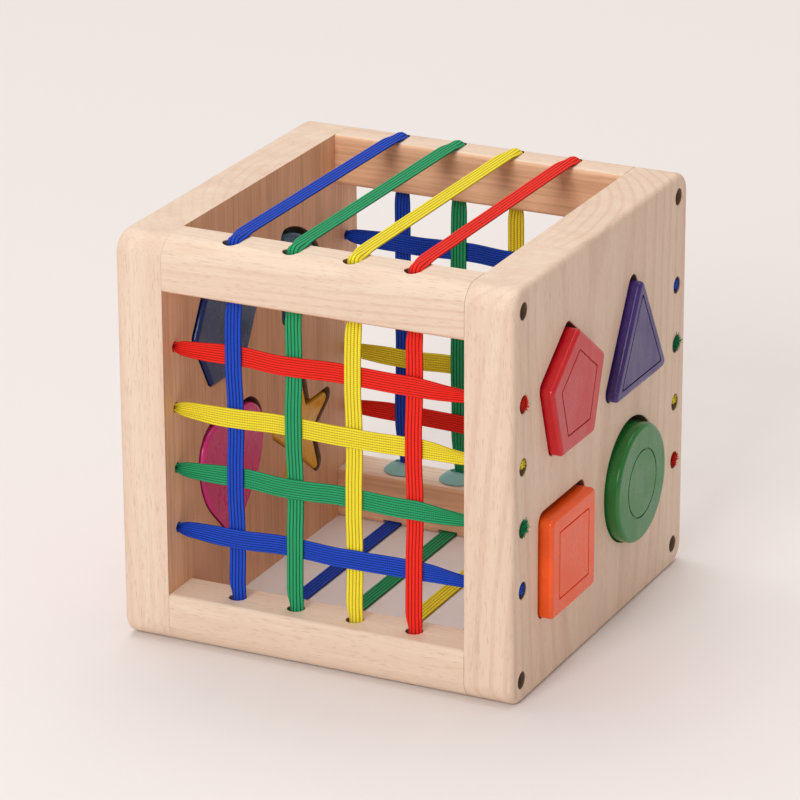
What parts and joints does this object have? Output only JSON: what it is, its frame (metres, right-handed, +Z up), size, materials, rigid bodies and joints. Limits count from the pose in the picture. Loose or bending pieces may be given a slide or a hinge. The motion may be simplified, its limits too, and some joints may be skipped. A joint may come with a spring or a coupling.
{
  "type": "shape sorter cube",
  "caption": "Wooden shape-sorting cube: two side panels with shaped openings and painted blocks that push through, joined by rails and woven elastic straps.",
  "frame": {"origin": "bottom centre of the cube, on the surface it stands on", "axes": "+X from the left panel to the right one, +Y from front to back, +Z up"},
  "size_m": [0.1596, 0.15, 0.1515],
  "materials": {
    "wood": "lightly sanded, close to satin",
    "screw": "dull",
    "collar": "matt",
    "blue_elastic": "ribbed woven elastic",
    "green_elastic": "ribbed woven elastic",
    "yellow_elastic": "ribbed woven elastic",
    "red_elastic": "ribbed woven elastic",
    "pentagon_paint": "glossy paint",
    "triangle_paint": "glossy paint",
    "square_paint": "glossy paint",
    "circle_paint": "glossy paint",
    "hexagon_paint": "glossy paint",
    "quarter_paint": "glossy paint",
    "heart_paint": "glossy paint",
    "star_paint": "glossy paint"
  },
  "bodies": {
    "frame": {"left_panel": "wood", "right_panel": "wood", "top_front_rail": "wood", "bottom_front_rail": "wood", "top_rear_rail": "wood", "bottom_rear_rail": "wood", "left_top_front_screw": "screw", "left_top_rear_screw": "screw", "left_bottom_front_screw": "screw", "left_bottom_rear_screw": "screw", "right_top_front_screw": "screw", "right_top_rear_screw": "screw", "right_bottom_front_screw": "screw", "right_bottom_rear_screw": "screw", "front_red_band": "red_elastic", "front_yellow_band": "yellow_elastic", "front_green_band": "green_elastic", "front_blue_band": "blue_elastic", "rear_blue_band": "blue_elastic", "rear_green_band": "green_elastic", "rear_yellow_band": "yellow_elastic", "rear_red_band": "red_elastic", "blue_loop_strap": "blue_elastic", "green_loop_strap": "green_elastic", "yellow_loop_strap": "yellow_elastic", "red_loop_strap": "red_elastic", "blue_strap_collar": "collar", "green_strap_collar": "collar", "yellow_strap_collar": "collar", "red_strap_collar": "collar"},
    "pentagon": {"pentagon_block": "pentagon_paint"},
    "triangle": {"triangle_block": "triangle_paint"},
    "square": {"square_block": "square_paint"},
    "circle": {"circle_block": "circle_paint"},
    "hexagon": {"hexagon_block": "hexagon_paint"},
    "quarter": {"quarter_block": "quarter_paint"},
    "heart": {"heart_block": "heart_paint"},
    "star": {"star_block": "star_paint"}
  },
  "joints": [
    {"name": "pentagon_slide", "type": "slide", "parent": "frame", "child": "pentagon", "axis": [1, 0, 0], "range_m": [-0.026, 0.03]},
    {"name": "triangle_slide", "type": "slide", "parent": "frame", "child": "triangle", "axis": [1, 0, 0], "range_m": [-0.026, 0.03]},
    {"name": "square_slide", "type": "slide", "parent": "frame", "child": "square", "axis": [1, 0, 0], "range_m": [-0.026, 0.03]},
    {"name": "circle_slide", "type": "slide", "parent": "frame", "child": "circle", "axis": [1, 0, 0], "range_m": [-0.026, 0.03]},
    {"name": "hexagon_slide", "type": "slide", "parent": "frame", "child": "hexagon", "axis": [-1, 0, 0], "range_m": [-0.026, 0.03]},
    {"name": "quarter_slide", "type": "slide", "parent": "frame", "child": "quarter", "axis": [-1, 0, 0], "range_m": [-0.026, 0.03]},
    {"name": "heart_slide", "type": "slide", "parent": "frame", "child": "heart", "axis": [-1, 0, 0], "range_m": [-0.026, 0.03]},
    {"name": "star_slide", "type": "slide", "parent": "frame", "child": "star", "axis": [-1, 0, 0], "range_m": [-0.026, 0.03]}
  ]
}
